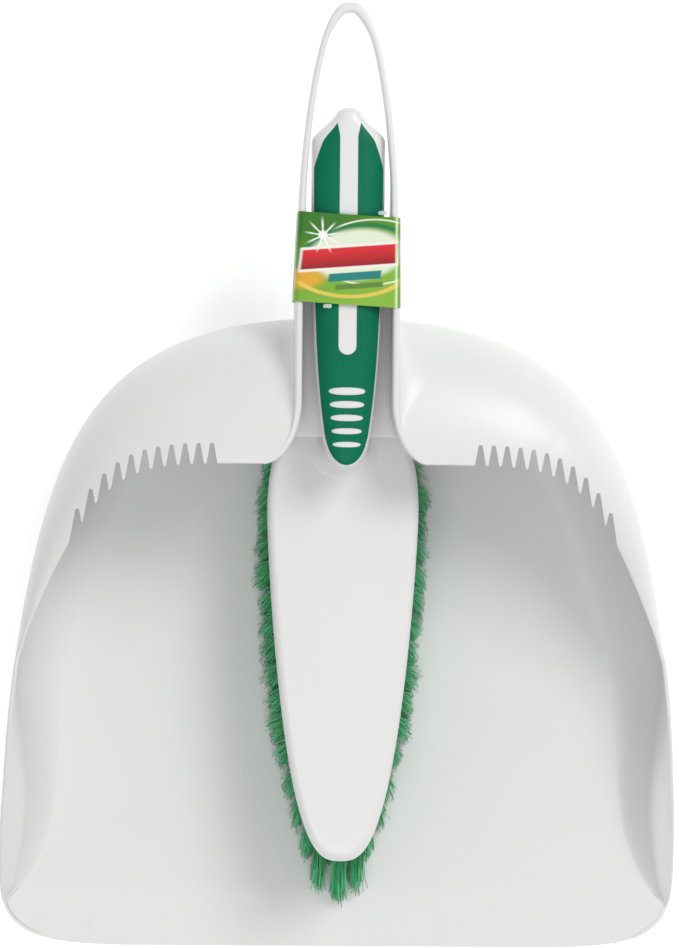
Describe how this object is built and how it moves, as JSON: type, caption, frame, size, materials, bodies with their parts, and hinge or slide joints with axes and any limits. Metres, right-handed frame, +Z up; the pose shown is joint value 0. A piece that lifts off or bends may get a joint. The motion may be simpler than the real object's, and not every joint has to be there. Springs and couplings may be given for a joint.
{
  "type": "dust pan and brush set",
  "caption": "Hooded dust pan with a toothed front edge, a hand brush lying in the trough of its handle, and a card sleeve round both.",
  "frame": {"origin": "centre of the bounding box on the surface that the pan lies on", "axes": "+Z up, -Y towards the lip and mouth, +Y towards the handle and its hanging loop, +X to the right when looking from the mouth to the handle"},
  "size_m": [0.32, 0.442, 0.0955],
  "materials": {
    "white_plastic": "smooth white polypropylene",
    "brush_white": "smooth white plastic",
    "grip_green": "soft satin green overmould",
    "bristle_green": "drawn plastic filament",
    "anchor_steel": "flat wire",
    "printed_card": "printed and varnished card",
    "clear_plastic": "clear moulded tag pin"
  },
  "bodies": {
    "pan": {"pan_shell": "white_plastic", "handle_trough": "white_plastic", "hanging_loop": "white_plastic"},
    "brush": {"brush_body": "brush_white", "brush_grip": "grip_green", "tuft_anchors": "anchor_steel", "tuft_row_01": "bristle_green", "tuft_row_02": "bristle_green", "tuft_row_03": "bristle_green", "tuft_row_04": "bristle_green", "tuft_row_05": "bristle_green", "tuft_row_06": "bristle_green", "tuft_row_07": "bristle_green", "tuft_row_08": "bristle_green", "tuft_row_09": "bristle_green", "tuft_row_10": "bristle_green", "tuft_row_11": "bristle_green", "tuft_row_12": "bristle_green", "tuft_row_13": "bristle_green", "tuft_row_14": "bristle_green", "tuft_row_15": "bristle_green", "tuft_row_16": "bristle_green", "tuft_row_17": "bristle_green"},
    "sleeve": {"card_sleeve": "printed_card", "tie_rear": "clear_plastic", "tie_front": "clear_plastic"}
  },
  "joints": [
    {"name": "brush_draw", "type": "slide", "parent": "pan", "child": "brush", "axis": [0, -1, 0], "range_m": [0, 0.4]},
    {"name": "sleeve_slide", "type": "slide", "parent": "pan", "child": "sleeve", "axis": [0, 1, 0], "range_m": [0, 0.2]}
  ]
}
